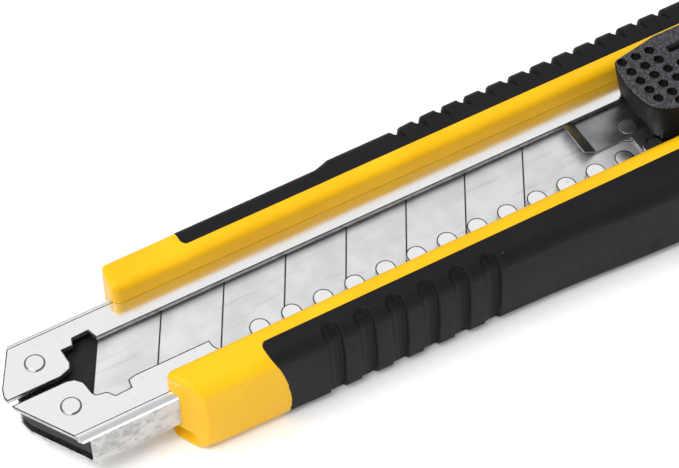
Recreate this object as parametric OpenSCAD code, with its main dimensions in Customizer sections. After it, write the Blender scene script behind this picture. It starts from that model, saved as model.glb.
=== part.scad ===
// Snap-off utility knife: two-colour handle, steel guide rail, sliding blade carrier, blade magazine.
// Every piece is drawn in the rail's frame: X runs forward and is 0 at the nose tip, Y is 0 on the
// rail's centreline and positive on the cutting-edge side, and Z is 0 on the rail's top face.
// in_place() then moves it so that the knife lies on Z = 0 with the middle of its box at X = Y = 0.

/* [Blade] */
// Length of the blade strip
blade_len = 100; // [80:1:125]
// Width of the blade strip
blade_w = 18; // [14:0.5:25]
// Thickness of the blade strip
blade_t = 0.5; // [0.4:0.05:0.6]
// Distance between the snap-off score lines
segment_pitch = 10; // [8:0.5:12]
// Angle of the score lines to the cutting edge, in degrees
score_angle = 60; // [50:1:70]
// Radius of the hole in the tail of the blade
blade_hole_r = 2.6; // [2:0.1:3]
// Distance from the tail end to the middle of that hole
blade_hole_back = 6.5; // [5:0.5:9]

/* [Rail] */
// Height of the folded steel channel
rail_h = 8; // [7:0.1:12]
// Thickness of its sheet steel
sheet = 0.7; // [0.5:0.05:1]
// Room on each side of the blade
blade_side_gap = 0.1; // [0.05:0.05:0.3]
// Depth of the blade's upper face below the rail's top face
blade_depth = 1.2; // [1.1:0.05:1.4]
// Distance from the nose tip to the point of the drawn-in blade
nose_reach = 7.7; // [6:0.1:10]
// Slot edge on the back side, from the centreline
slot_back = 4.4; // [3.5:0.1:5]
// Slot edge on the cutting-edge side, from the centreline
slot_front = 3.8; // [3.2:0.1:4.5]
// Distance between the lock teeth
tooth_pitch = 5.09; // [4.5:0.01:6]
// Radius of a lock tooth's round end
tooth_r = 1.5; // [1.2:0.05:1.7]
// Depth of the gaps between the lock teeth
tooth_depth = 2.5; // [2:0.1:3]
// Closest that the toothed run comes to the nose tip
toothed_front = 29; // [28:0.5:40]

/* [Handle] */
// Height of the two side bars above the rail
bar_h = 3.8; // [3:0.1:6]
// Thickness of the handle under the rail
belly_t = 3.5; // [2.5:0.1:6]
// Overlap of the back bar on the rail's top face
bar_lap_back = 1.9; // [1:0.1:2.5]
// Overlap of the front bar on the rail's top face
bar_lap_front = 2.4; // [1:0.1:2.6]
// Thickness of the hard side walls beside the rail, under the soft grips
side_wall = 2.0; // [1.5:0.1:2.4]
// How far the collar stands out past the rail on the back
collar_back = 3.4; // [3:0.1:5]
// How far the collar stands out past the rail on the cutting-edge side
collar_front = 3.8; // [3:0.1:5]
// Distance from the nose tip to the front of the collar
collar_x = 20; // [18:0.5:26]
// Radius of the long upper edges
top_round = 2.6; // [1:0.1:3.4]
// Radius of the long lower edges
bottom_round = 2; // [1:0.1:2.4]
// Length of the closed tail behind the slot
tail_len = 26.5; // [24:0.5:45]

/* [Grips] */
// Start of the back grip, from the nose tip
back_grip_x = 31.9; // [30:0.1:36]
// Start of the finger grip, from the nose tip, on the top face
finger_grip_x = 33.3; // [31:0.1:36]
// How much further back the finger grip starts at the belly
finger_grip_rake = 2.7; // [0:0.1:4]
// Width of the bare hard bar beside each grip, past the rail's edge
bar_edge = 0.1; // [0:0.05:0.6]
// Step in the back grip where it thickens, from the nose tip
step_x = 56.4; // [50:0.1:62]
// Height of that step
step_h = 0.75; // [0.3:0.05:1.2]
// First ridge of the back grip, from the nose tip
ridge_x = 70.9; // [66:0.1:76]
// Distance between the ridges
ridge_pitch = 3.9; // [3:0.1:5]
// Number of ridges
ridge_count = 12; // [6:1:13]
// Radius of the hollows between the ridges
ridge_r = 1; // [0.6:0.1:1.4]
// First finger groove, from the nose tip
groove_x = 43.7; // [42:0.1:48]
// Distance between the finger grooves
groove_pitch = 5; // [4:0.1:5.4]
// Number of finger grooves
groove_count = 6; // [3:1:7]
// Radius of a finger groove
groove_r = 1.6; // [1:0.1:1.9]
// Depth of a finger groove
groove_depth = 0.9; // [0.4:0.1:1.2]

/* [Slider] */
// Length of the thumb pad
pad_len = 24; // [20:0.5:30]
// Width of the thumb pad
pad_w = 14; // [11:0.5:14]
// Height of the pad's top above the rail
pad_top = 8.4; // [7:0.1:10]
// Radius of the pad's bowed front and rear
pad_bow_r = 15; // [12:0.5:30]
// Wall of the pad
pad_wall = 1.4; // [1:0.1:1.8]
// Thickness of the steel blade carrier
carrier_t = 0.35; // [0.3:0.05:0.4]
// How far the carrier's tongue reaches out in front of the pad
tongue_len = 5.6; // [4:0.1:8]
// Height of the tongue's turned-up lip
lip_h = 1.3; // [0.8:0.1:1.8]

/* [End cap] */
// Length of the end cap behind the handle
cap_len = 9; // [7:0.5:14]
// Length of its plug inside the handle
plug_len = 3.8; // [3:0.1:4.5]

/* [Fits] */
// Gap between pieces that slide
slide_gap = 0.15; // [0.1:0.01:0.25]
// Gap between pieces that are fixed together
seat_gap = 0.05; // [0.02:0.01:0.1]

/* [Hidden] */
$fn = 48;
BIG = 400;
EPS = 0.01;

// Colours
yellow = "#F7C21A";
soft_black = "#2C2C30";
hard_black = "#38383B";
steel = "#C9CCD1";
blade_steel = "#A9ACB0";
dark_steel = "#6E7074";

// Rail
rail_w = blade_w + 2 * (blade_side_gap + sheet);
rail_half = rail_w / 2;
inner_half = rail_half - sheet;
bend_r = 1.1;
nose_setback = 1.75;
slit_gap = 0.9;

// Blade and magazine heights
blade_top = -blade_depth;
blade_bottom = blade_top - blade_t;
stack_gap = 0.1;
spare_tops = [blade_bottom - slide_gap, blade_bottom - slide_gap - blade_t - stack_gap];
lift_plate_t = 0.5;
lift_top = spare_tops[1] - blade_t - stack_gap;
rail_floor = -rail_h + sheet;
lean = blade_w / tan(score_angle);

// Slider places
plate_top = -sheet - 0.08;
blade_tip_x = -nose_reach;
stud_x = blade_tip_x - blade_len + blade_hole_back;
pad_front_x = stud_x + 1.1;
pad_rear_x = pad_front_x - pad_len;
carriage_front_x = pad_front_x - 3.6;
carriage_rear_x = pad_rear_x + 2.5;
lock_x = pad_front_x - 9.7;
teeth = floor((-lock_x - toothed_front) / tooth_pitch);
slider_lift = 0.3;
neck_back = slot_back - 0.3;
neck_front = slot_front - 0.4;

// Lengths behind the slider
load_back = tooth_pitch;
slot_end_x = pad_rear_x - load_back - 1.3;
deck_x = slot_end_x - 0.5;
shell_end_x = slot_end_x - tail_len;
rail_end_x = shell_end_x + plug_len + 0.2;
cap_end_x = shell_end_x - cap_len;
spare_front_x = blade_tip_x - load_back;

// Carriage, its lock spring and its fixings
stud_neck_r = 1.4;
plate_rivet_r = 1;
plate_rivet_h = 4;
rivet_y = -0.4;
block_half_w = 5.2;
block_z = pad_top - pad_wall - 0.05;
lock_rivet_r = 0.5;
lock_rivet_x = lock_x + 4;
spring_mid = 1.4;
spring_strip = 0.3;
spring_y = neck_front - 0.5;
pocket_top = 3;

// Pieces fixed inside the rail
rivet_x = -12;
rivet_r = 1;
screw_r = 1.2;
screw_head_r = 2.3;
screw_head_t = 1.2;
screw_head_sunk = 0.4;
block_top = blade_bottom - slide_gap;
block_half = inner_half - seat_gap;
block_bend = bend_r - sheet;
rear_block_x = spare_front_x - blade_len - 0.8;

// Handle section
top_z = bar_h;
belly_z = -rail_h - belly_t;
core_half = rail_half + side_wall;
core_top = top_z - 2;
core_bottom = belly_z + 1.5;
belly_half = rail_half - 0.6;
bar_half = rail_half + bar_edge;
bar_back = rail_half - bar_lap_back;
bar_front = rail_half - bar_lap_front;
grip_len = -shell_end_x - finger_grip_x;
// Finger grip outline: share of the grip's length, and reach past the rail
finger_outline = [[0, 3.9], [0.2, 4.5], [0.38, 5.2], [0.54, 6.6], [0.66, 7.0], [0.86, 5.6], [1, 4.2]];
back_slim = 3.4;
back_full = back_slim + step_h + 0.15;

// Whole knife
x_mid = cap_end_x / 2;
y_low = -rail_half - back_full - 0.5;
y_high = rail_half + 7.0;

module in_place() {
    translate([-x_mid, -(y_low + y_high) / 2, -belly_z]) children();
}

// A flat shape in Y and Z, pulled along X from x1 back to x0
module along_x(x0, x1) {
    translate([x0, 0, 0]) rotate([90, 0, 90]) linear_extrude(x1 - x0) children();
}

// A flat shape in X and Z, pulled along Y
module along_y(y0, y1) {
    translate([0, y1, 0]) rotate([90, 0, 0]) linear_extrude(y1 - y0) children();
}

module box(x0, x1, y0, y1, z0, z1) {
    translate([x0, y0, z0]) cube([x1 - x0, y1 - y0, z1 - z0]);
}

// Rectangle with two radii: rt on the upper corners, rb on the lower ones, and rt >= rb
module rounded_section(y0, y1, z0, z1, rt, rb) {
    translate([y0 + rt, z0]) square([y1 - y0 - 2 * rt, z1 - z0]);
    translate([y0, z0 + rb]) square([y1 - y0, z1 - z0 - rt - rb]);
    translate([y0 + rb, z0]) square([y1 - y0 - 2 * rb, rb + EPS]);
    for (y = [y0 + rt, y1 - rt]) translate([y, z1 - rt]) circle(rt);
    for (y = [y0 + rb, y1 - rb]) translate([y, z0 + rb]) circle(rb);
}

// ---- Blade strips ----

module blade_outline() {
    polygon([
        [0, blade_w / 2], [-lean, -blade_w / 2],
        [-blade_len, -blade_w / 2], [-blade_len, blade_w / 2]
    ]);
}

// One blade: score lines on its upper face, a ground cutting edge, and the hole in its tail
module blade_strip(tip_x, top) {
    bevel = 1.6;
    score_deep = 0.12;
    last_score = blade_len - blade_hole_back - blade_hole_r - lean - 5;
    difference() {
        translate([tip_x, 0, top - blade_t]) linear_extrude(blade_t) blade_outline();
        for (s = [segment_pitch : segment_pitch : last_score])
            translate([tip_x - s, blade_w / 2, top - score_deep])
                rotate([0, 0, 180 + score_angle])
                    translate([-3, -0.06, 0]) cube([blade_w * 1.4 + 3, 0.12, 1]);
        translate([tip_x - blade_len + blade_hole_back, 0, top - blade_t - 1])
            cylinder(r = blade_hole_r, h = blade_t + 2);
        for (side = [0, 1])
            translate([tip_x + 1, blade_w / 2 - bevel, top - blade_t / 2])
                mirror([0, 0, side]) rotate([-atan((blade_t / 2 - 0.03) / bevel), 0, 0])
                    translate([-blade_len - 2, 0, blade_t / 2])
                        cube([blade_len + 3, bevel * 2, 1]);
    }
}

module working_blade() {
    color(blade_steel) blade_strip(blade_tip_x, blade_top);
}

module upper_spare_blade() {
    color(blade_steel) blade_strip(spare_front_x, spare_tops[0]);
}

module lower_spare_blade() {
    color(blade_steel) blade_strip(spare_front_x, spare_tops[1]);
}

// ---- Guide rail ----

// Back half of the nose, parallel to the score lines, and front half, leaning the other way
module nose_outline(setback) {
    back_corner = -4.3;
    front_corner = -6.4;
    translate([-setback, 0])
        polygon([
            [-BIG, -rail_half - 1], [back_corner - 0.6, -rail_half - 1], [back_corner, -rail_half],
            [-0.35, -3], [0, -1.7], [-0.5, 0.5], [front_corner + 0.35, rail_half - 0.5],
            [front_corner, rail_half], [front_corner, rail_half + 1], [-BIG, rail_half + 1]
        ]);
}

// Slit between the two halves of the nose, then the notches and the straight slot behind them
module slot_outline() {
    straight_x = -17.2;
    polygon([
        [1, -slit_gap], [-8.3, -slit_gap], [-10, -1.5], [-10.4, -2.4], [-10.3, -4.8],
        [-12, -4.8], [-12.4, -5.9], [-14.9, -6], [-15.4, -slot_back], [slot_end_x, -slot_back],
        [slot_end_x, slot_front], [straight_x, slot_front], [-16.1, 4.1], [-15.9, 5.4], [-13.5, 5.5],
        [-12.7, 4.4], [-11.2, 4.1], [-10.9, 3.6], [-10.6, 1.4], [-9.7, 0.4], [-8.6, 0.1], [1, 0.1]
    ]);
}

// The gaps between the lock teeth, as one long pocket with the round-ended teeth left standing
module teeth_outline() {
    pocket_front = lock_x + (teeth + 1) * tooth_pitch - tooth_pitch / 2 + tooth_r + 0.6;
    difference() {
        union() {
            translate([slot_end_x, slot_front - EPS])
                square([pocket_front - 2 - slot_end_x, tooth_depth + EPS]);
            translate([slot_end_x, slot_front - EPS])
                square([pocket_front - slot_end_x, tooth_depth - 2 + EPS]);
            translate([pocket_front - 2, slot_front + tooth_depth - 2]) circle(2);
        }
        for (k = [-2 : teeth - 1])
            translate([lock_x + (k + 0.5) * tooth_pitch, slot_front + tooth_r]) {
                circle(tooth_r);
                translate([-tooth_r, 0]) square([2 * tooth_r, tooth_depth]);
            }
    }
}

module guide_rail() {
    dimple_r = 1.5;
    color(steel) {
        difference() {
            intersection() {
                along_x(rail_end_x, 0) difference() {
                    rounded_section(-rail_half, rail_half, -rail_h, 0, bend_r, bend_r);
                    rounded_section(-inner_half, inner_half, rail_floor, -sheet,
                        bend_r - sheet, bend_r - sheet);
                }
                union() {
                    translate([0, 0, -sheet - 0.4]) linear_extrude(BIG) nose_outline(0);
                    translate([0, 0, -rail_h - 1]) linear_extrude(rail_h + 1 - sheet)
                        nose_outline(nose_setback);
                }
            }
            translate([0, 0, -sheet - 0.2]) linear_extrude(BIG) slot_outline();
            translate([0, 0, -sheet - 0.2]) linear_extrude(BIG) teeth_outline();
            for (x = screw_places())
                translate([x, 0, -rail_h - 1]) cylinder(r = screw_r + slide_gap, h = sheet + 2);
            translate([rivet_x, 0, -rail_h - 1]) cylinder(r = rivet_r + seat_gap, h = sheet + 2);
        }
        for (p = [[-6.1, -4.7], [-7.4, 4.1]])
            translate([p[0], p[1], -sheet / 2]) cylinder(r1 = dimple_r, r2 = dimple_r - 0.25, h = 0.5);
    }
}

// ---- Pieces fixed inside the rail ----

function screw_places() = [rear_block_x - 8, rail_end_x + 8];

// Cross-section of a block in the rail, rounded to sit in the rail's inner bends
module block_section() {
    rounded_section(-block_half, block_half, rail_floor + seat_gap, block_top, block_bend, block_bend);
}

// Fills the rail's mouth under the blade; its rear face stops the spare blades
module nose_block() {
    relief_h = 1.3;
    color(hard_black) difference() {
        intersection() {
            along_x(-BIG, 0) block_section();
            translate([0, 0, -rail_h]) linear_extrude(rail_h) nose_outline(nose_setback + 0.2);
            translate([spare_front_x + 0.4, blade_w / 2, -rail_h]) rotate([0, 0, score_angle - 90])
                translate([0, -BIG, 0]) cube([BIG, 2 * BIG, rail_h]);
        }
        translate([0, 0, rail_floor]) linear_extrude(relief_h) difference() {
            nose_outline(0);
            nose_outline(nose_setback + 1.4);
        }
        translate([rivet_x, 0, rail_floor - 1]) cylinder(r = rivet_r + seat_gap, h = 4.5);
    }
}

module nose_rivet() {
    color(dark_steel) translate([rivet_x, 0, 0]) {
        translate([0, 0, -rail_h]) cylinder(r = rivet_r, h = 4);
        translate([0, 0, -rail_h - 0.5]) cylinder(r = rivet_r + 0.7, h = 0.5);
    }
}

// Closes the rail behind the spare blades and takes the handle screws
module rear_block() {
    color(hard_black) difference() {
        along_x(rail_end_x, rear_block_x) block_section();
        for (x = screw_places())
            translate([x, 0, rail_floor - 1]) cylinder(r = screw_r + seat_gap, h = 5);
    }
}

// Two screws up through the belly, each with a cross slot in its head
module rail_screws() {
    head_z = belly_z + screw_head_sunk;
    slot_half = 0.3;
    slot_z = head_z - 0.1;
    color(dark_steel)
        for (x = screw_places())
            translate([x, 0, 0]) difference() {
                union() {
                    translate([0, 0, head_z]) cylinder(r = screw_head_r, h = screw_head_t);
                    translate([0, 0, head_z]) cylinder(r = screw_r, h = belly_t + sheet + 3);
                }
                translate([-screw_head_r, -slot_half, slot_z])
                    cube([2 * screw_head_r, 2 * slot_half, 0.6]);
                translate([-slot_half, -screw_head_r, slot_z])
                    cube([2 * slot_half, 2 * screw_head_r, 0.6]);
            }
}

// ---- Magazine ----

module lift_plate() {
    color(dark_steel)
        box(spare_front_x - blade_len + 6, spare_front_x - lean - 3, -block_half + 0.6,
            block_half - 0.6, lift_top - lift_plate_t, lift_top);
}

// Bowed leaf spring that presses the lift plate up; its ends rest on the rail's floor
module magazine_spring() {
    spring_t = 0.35;
    half_w = 4;
    half_span = 0.35 * blade_len;
    base_z = rail_floor + seat_gap;
    rise = lift_top - lift_plate_t - seat_gap - base_z - spring_t;
    bow_r = (half_span * half_span + rise * rise) / (2 * rise);
    mid_x = spare_front_x - blade_len / 2 - 3;
    color(steel) along_y(-half_w, half_w) translate([mid_x, base_z]) intersection() {
        translate([0, rise - bow_r]) difference() {
            circle(bow_r + spring_t, $fn = 360);
            circle(bow_r, $fn = 360);
        }
        translate([-half_span, -1]) square([2 * half_span, rise + 2]);
    }
}

// ---- Slider ----

// Steel plate under the rail's lips: it holds the blade's tail, and its tongue shows in the slot
module blade_carrier() {
    plate_back = 6.5;
    plate_front = 6;
    tongue_back = slot_back - 0.2;
    tongue_front = 1.7;
    tongue_x = pad_front_x + tongue_len;
    lip_run = 2.2;
    plate_low = plate_top - carrier_t;
    color(steel) difference() {
        union() {
            box(pad_rear_x + 3, pad_front_x - 0.5, -plate_back, plate_front, plate_low, plate_top);
            box(pad_front_x - 1, tongue_x, -tongue_back, tongue_front, plate_low, plate_top);
            along_y(-tongue_back, tongue_front) polygon([
                [tongue_x - EPS, plate_low], [tongue_x + lip_run, plate_low + lip_h],
                [tongue_x + lip_run, plate_top + lip_h], [tongue_x - EPS, plate_top]
            ]);
        }
        translate([stud_x, 0, plate_low - 1]) cylinder(r = stud_neck_r + seat_gap, h = 3);
        for (x = rivet_places())
            translate([x, rivet_y, plate_low - 1]) cylinder(r = plate_rivet_r + seat_gap, h = 3);
    }
}

function rivet_places() = [carriage_front_x - 5.5, carriage_rear_x + 4];

// Round stud in the blade's tail hole, riveted through the carrier
module blade_stud() {
    low = blade_bottom - 0.03;
    color(dark_steel) translate([stud_x, 0, 0]) {
        translate([0, 0, low]) cylinder(r = blade_hole_r - 0.15, h = plate_top - carrier_t - low);
        translate([0, 0, low]) cylinder(r = stud_neck_r, h = plate_top - low);
    }
}

module carrier_rivets() {
    color(dark_steel)
        for (x = rivet_places())
            translate([x, rivet_y, plate_top - carrier_t])
                cylinder(r = plate_rivet_r, h = plate_rivet_h);
}

// Block that runs in the slot and carries the pad
module slider_carriage() {
    color(hard_black) difference() {
        union() {
            box(carriage_rear_x, carriage_front_x, -neck_back, neck_front,
                plate_top + seat_gap, block_z);
            box(carriage_rear_x, carriage_front_x, -block_half_w, block_half_w, slider_lift, block_z);
        }
        for (x = rivet_places())
            translate([x, rivet_y, plate_top - carrier_t])
                cylinder(r = plate_rivet_r + seat_gap, h = plate_rivet_h + seat_gap);
        lock_pocket(0);
        translate([lock_rivet_x, 0, spring_mid]) rotate([-90, 0, 0])
            cylinder(r = lock_rivet_r + seat_gap, h = 8);
    }
}

// Room for the lock spring: a seat for its fixed end, and space behind its tooth to move in
module lock_pocket(grow) {
    seat_x = lock_rivet_x - 1.4;
    box(lock_x - 5 - grow, seat_x, spring_y - 1.6, block_half_w + 1, -sheet - 1, pocket_top + grow);
    box(seat_x - EPS, lock_rivet_x + 1 + grow, spring_y, block_half_w + 1, -sheet - 1,
        pocket_top + grow);
}

// Upright spring strip on the carriage; its half-round tooth sits between two rail teeth
module lock_spring() {
    tooth_nose_r = tooth_pitch / 2 - tooth_r - 0.15;
    tooth_reach = slot_front + tooth_depth - 0.5;
    color(steel) difference() {
        union() {
            box(lock_x - 4.6, lock_x + 4.8, spring_y, spring_y + spring_strip, slider_lift, 2.5);
            box(lock_x - tooth_nose_r, lock_x + tooth_nose_r, spring_y, spring_y + spring_strip,
                -sheet, slider_lift + EPS);
            box(lock_x - tooth_nose_r, lock_x + tooth_nose_r, spring_y, tooth_reach - tooth_nose_r,
                -sheet, 0);
            translate([lock_x, tooth_reach - tooth_nose_r, -sheet])
                cylinder(r = tooth_nose_r, h = sheet);
        }
        translate([lock_rivet_x, spring_y - 1, spring_mid]) rotate([-90, 0, 0])
            cylinder(r = lock_rivet_r + seat_gap, h = 3);
    }
}

module lock_spring_rivet() {
    head_y = spring_y + spring_strip;
    color(dark_steel) translate([lock_rivet_x, 0, spring_mid]) rotate([-90, 0, 0]) {
        translate([0, 0, head_y]) cylinder(r = lock_rivet_r + 0.4, h = 0.3);
        translate([0, 0, 0.4]) cylinder(r = lock_rivet_r, h = head_y - 0.4 + EPS);
    }
}

// The pad seen from above: straight sides, round corners and bowed ends
module pad_plan() {
    half = pad_w / 2;
    corner = 3;
    translate([pad_front_x, 0]) intersection() {
        translate([-pad_bow_r, 0]) circle(pad_bow_r, $fn = 96);
        translate([pad_bow_r - pad_len, 0]) circle(pad_bow_r, $fn = 96);
        union() {
            translate([-pad_len, -half + corner]) square([pad_len, 2 * half - 2 * corner]);
            translate([-pad_len + corner, -half]) square([pad_len - 2 * corner, 2 * half]);
            for (x = [-pad_len + corner, -corner]) for (y = [-half + corner, half - corner])
                translate([x, y]) circle(corner);
        }
    }
}

// Cap fitted over the carriage, with two long pockets in its top
module thumb_pad() {
    slot_len = 9;
    slot_wide = 1.3;
    slot_y = 3.4;
    slot_x = pad_front_x - 9.3;
    arch_h = 2.6;
    color(soft_black) difference() {
        translate([0, 0, slider_lift]) linear_extrude(pad_top - slider_lift) pad_plan();
        box(carriage_rear_x - seat_gap, carriage_front_x + seat_gap, -block_half_w - seat_gap,
            block_half_w + seat_gap, slider_lift - 1, block_z + 0.05);
        intersection() {
            lock_pocket(0.2);
            box(-BIG, 0, 0, pad_w / 2 - 1, -BIG, BIG);
        }
        for (side = [-1, 1])
            box(slot_x - slot_len, slot_x, side * slot_y - slot_wide / 2,
                side * slot_y + slot_wide / 2, pad_top - 1, pad_top + 1);
        // Arch over the carrier's tongue
        box(carriage_front_x, pad_front_x + 1, -neck_back, neck_front, -1, arch_h);
    }
}

// ---- Handle ----

// Collar outline seen from above: square across the rail, slanting back to each side
module collar_plan(rear) {
    shoulder = rail_half - 0.2;
    back = rail_half + collar_back;
    front = rail_half + collar_front;
    slant = 2.6;
    back_slant = 0.4;
    polygon([
        [-collar_x, -shoulder], [-collar_x, shoulder], [-collar_x - slant, front - 0.6],
        [-collar_x - slant - 0.8, front], [rear, front], [rear, -back],
        [-collar_x - back_slant - 0.8, -back], [-collar_x - back_slant, -back + 0.6]
    ]);
}

// Side view of where the hard collar ends and the finger grip begins
module finger_split() {
    polygon([
        [-finger_grip_x, top_z + 1], [-finger_grip_x, top_z],
        [-finger_grip_x - finger_grip_rake, belly_z], [-finger_grip_x - finger_grip_rake, belly_z - 1],
        [1, belly_z - 1], [1, top_z + 1]
    ]);
}

module collar_body() {
    intersection() {
        along_x(-finger_grip_x - finger_grip_rake - 1, 0)
            rounded_section(-rail_half - collar_back, rail_half + collar_front, belly_z, top_z,
                top_round, bottom_round);
        translate([0, 0, belly_z - 1]) linear_extrude(top_z - belly_z + 2)
            collar_plan(-finger_grip_x - 5);
        union() {
            box(-back_grip_x, 0, -BIG, 0, belly_z - 1, top_z + 1);
            along_y(-EPS, BIG) finger_split();
        }
    }
}

// Hard core: walls beside the rail, belly, and the two bars that show between the grips
module core_body() {
    along_x(shell_end_x, -back_grip_x + EPS) union() {
        translate([-core_half, core_bottom]) square([2 * core_half, core_top - core_bottom]);
        translate([-belly_half, belly_z]) square([2 * belly_half, 3]);
        translate([-bar_half, 0]) square([2 * bar_half, top_z]);
    }
}

module handle_shell() {
    color(yellow) difference() {
        union() {
            collar_body();
            core_body();
        }
        // Seat of the rail
        box(shell_end_x - 1, 1, -rail_half - seat_gap, rail_half + seat_gap,
            -rail_h - seat_gap, seat_gap);
        // Open run above the slot
        box(deck_x, 1, -bar_back, bar_front, 0, top_z + 1);
        for (x = screw_places()) {
            translate([x, 0, belly_z - 1]) cylinder(r = screw_r + slide_gap, h = belly_t + 2);
            translate([x, 0, belly_z - 1])
                cylinder(r = screw_head_r + slide_gap, h = 1 + screw_head_sunk + screw_head_t);
        }
    }
}

// Cross-section of a side grip for one reach past the rail: Y and Z of each corner, rounded by arcs
function grip_ring(reach, rt) = let(outer = rail_half + reach, inner = belly_half - 0.5, n = 6)
    concat(
        [[inner, belly_z]],
        [for (k = [0 : n]) let(a = -90 + 90 * k / n)
            [outer - bottom_round + bottom_round * cos(a), belly_z + bottom_round * (1 + sin(a))]],
        [for (k = [0 : n]) let(a = 90 * k / n)
            [outer - rt + rt * cos(a), top_z - rt + rt * sin(a)]],
        [[inner, top_z]]
    );

// Solid through a row of cross-sections: stations are [x, reach past the rail], from the front back
module grip_loft(stations, rt) {
    rings = [for (s = stations) [for (p = grip_ring(s[1], rt)) [s[0], p[0], p[1]]]];
    n = len(rings[0]);
    last = len(rings) - 1;
    polyhedron(
        points = [for (ring = rings) each ring],
        faces = concat(
            [[for (k = [n - 1 : -1 : 0]) k]],
            [[for (k = [0 : n - 1]) last * n + k]],
            [for (i = [0 : last - 1]) for (k = [0 : n - 1]) let(m = (k + 1) % n)
                [i * n + k, i * n + m, (i + 1) * n + m, (i + 1) * n + k]]
        )
    );
}

module back_grip() {
    front = -back_grip_x;
    valley_y = rail_half + back_full + 0.65;
    stations = [
        [front, back_slim], [-step_x + 1.3, back_slim + 0.15], [-step_x - 1.2, back_full],
        [-ridge_x + ridge_pitch, back_full + 0.1], [-ridge_x - ridge_pitch, back_full + 0.5],
        [shell_end_x + 30, back_full + 0.5], [shell_end_x, back_slim + 0.3]
    ];
    color(soft_black) difference() {
        mirror([0, 1, 0]) difference() {
            grip_loft(stations, 1.6);
            for (k = [0 : ridge_count])
                translate([-ridge_x + (0.5 - k) * ridge_pitch, valley_y, belly_z - 1])
                    cylinder(r = ridge_r, h = top_z - belly_z + 2, $fn = 24);
        }
        core_body();
    }
}

module finger_grip() {
    stations = [for (p = finger_outline) [-finger_grip_x - p[0] * grip_len, p[1]]];
    color(soft_black) difference() {
        grip_loft(stations, top_round);
        core_body();
        along_y(0, BIG) finger_split();
        for (k = [0 : groove_count - 1])
            finger_groove(-groove_x - k * groove_pitch);
    }
}

// Upright groove with round ends, cut into the finger grip's side
module finger_groove(x) {
    share = (-x - finger_grip_x) / grip_len;
    side_y = rail_half + lookup(share, finger_outline);
    axis_y = side_y + groove_r - groove_depth;
    translate([x, axis_y, 0]) {
        translate([0, 0, belly_z + 3]) cylinder(r = groove_r, h = top_z - belly_z - 5.2, $fn = 24);
        translate([0, 0, belly_z + 3]) sphere(groove_r, $fn = 24);
        translate([0, 0, top_z - 2.2]) sphere(groove_r, $fn = 24);
    }
}

// ---- End cap ----

module end_cap() {
    inset = 0.2;
    back = rail_half + back_slim + 0.3 - inset;
    front = rail_half + finger_outline[len(finger_outline) - 1][1] - inset;
    snap_slot_w = 14;
    color(hard_black) difference() {
        union() {
            intersection() {
                along_x(cap_end_x, shell_end_x - slide_gap)
                    rounded_section(-back, front, belly_z + inset, top_z - inset, 2, 2);
                along_y(-BIG, BIG) translate([cap_end_x, belly_z + inset])
                    rear_profile(cap_len, top_z - belly_z - 2 * inset, 4);
                translate([0, 0, belly_z - 1]) linear_extrude(BIG) translate([cap_end_x, -back])
                    rear_profile(cap_len, back + front, 5);
            }
            difference() {
                box(shell_end_x - 1, shell_end_x + plug_len, -rail_half + slide_gap,
                    rail_half - slide_gap, -rail_h + slide_gap, -slide_gap);
                box(shell_end_x, shell_end_x + plug_len + 1, -rail_half + 2.4,
                    rail_half - 2.4, -rail_h + 1.8, -1.6);
            }
        }
        // Slot in which a worn segment is snapped off
        box(cap_end_x - 1, cap_end_x + 6, -snap_slot_w / 2, snap_slot_w / 2, -3.2, -2.2);
    }
}

// Quarter view used twice on the end cap: square in front, rounded at the rear
module rear_profile(length, width, r) {
    translate([r, 0]) square([length - r, width]);
    translate([0, r]) square([length, width - 2 * r]);
    for (y = [r, width - r]) translate([r, y]) circle(r);
}

in_place() handle_shell();
in_place() back_grip();
in_place() finger_grip();
in_place() guide_rail();
in_place() nose_block();
in_place() nose_rivet();
in_place() rear_block();
in_place() rail_screws();
in_place() magazine_spring();
in_place() lift_plate();
in_place() upper_spare_blade();
in_place() lower_spare_blade();
in_place() working_blade();
in_place() blade_carrier();
in_place() blade_stud();
in_place() carrier_rivets();
in_place() slider_carriage();
in_place() thumb_pad();
in_place() lock_spring();
in_place() lock_spring_rivet();
in_place() end_cap();
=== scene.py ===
# %% [markdown]
# # A snap-off utility knife
# This lesson dresses a finished engineering model. The engineering model, called the frame, already has
# every piece in its right place and size. Here each visible piece gets a finer mesh where it needs one,
# and a procedural material. Everything is drawn in the same place as the frame, so nothing is fitted.

import math

import bmesh
import bpy
import numpy as np
from mathutils import Matrix, Vector
from mathutils.geometry import tessellate_polygon


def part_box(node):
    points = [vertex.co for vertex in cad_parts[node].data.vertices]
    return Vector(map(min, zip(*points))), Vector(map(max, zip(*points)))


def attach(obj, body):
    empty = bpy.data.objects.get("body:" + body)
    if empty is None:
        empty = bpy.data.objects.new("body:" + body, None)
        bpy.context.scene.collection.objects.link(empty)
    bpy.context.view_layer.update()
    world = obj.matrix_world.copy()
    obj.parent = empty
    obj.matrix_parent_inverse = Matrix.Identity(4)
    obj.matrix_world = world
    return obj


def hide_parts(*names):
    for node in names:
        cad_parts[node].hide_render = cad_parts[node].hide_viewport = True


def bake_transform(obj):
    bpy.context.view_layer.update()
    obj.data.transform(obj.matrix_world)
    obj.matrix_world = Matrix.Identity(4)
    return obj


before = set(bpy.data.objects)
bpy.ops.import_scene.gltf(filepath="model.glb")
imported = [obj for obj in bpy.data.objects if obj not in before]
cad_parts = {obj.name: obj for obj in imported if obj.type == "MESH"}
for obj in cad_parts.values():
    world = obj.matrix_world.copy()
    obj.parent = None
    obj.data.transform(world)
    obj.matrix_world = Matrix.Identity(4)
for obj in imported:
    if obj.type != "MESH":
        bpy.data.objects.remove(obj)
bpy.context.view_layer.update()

# %% [markdown]
# The knife is easiest to draw in millimetres from the guide rail. X is 0 at the tip of the nose and
# grows forward, so everything else has a negative X. Y is 0 on the rail's centreline, with the cutting
# edge on the plus side. Z is 0 on the rail's top face. The rail's own box gives the shift to the frame.

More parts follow.
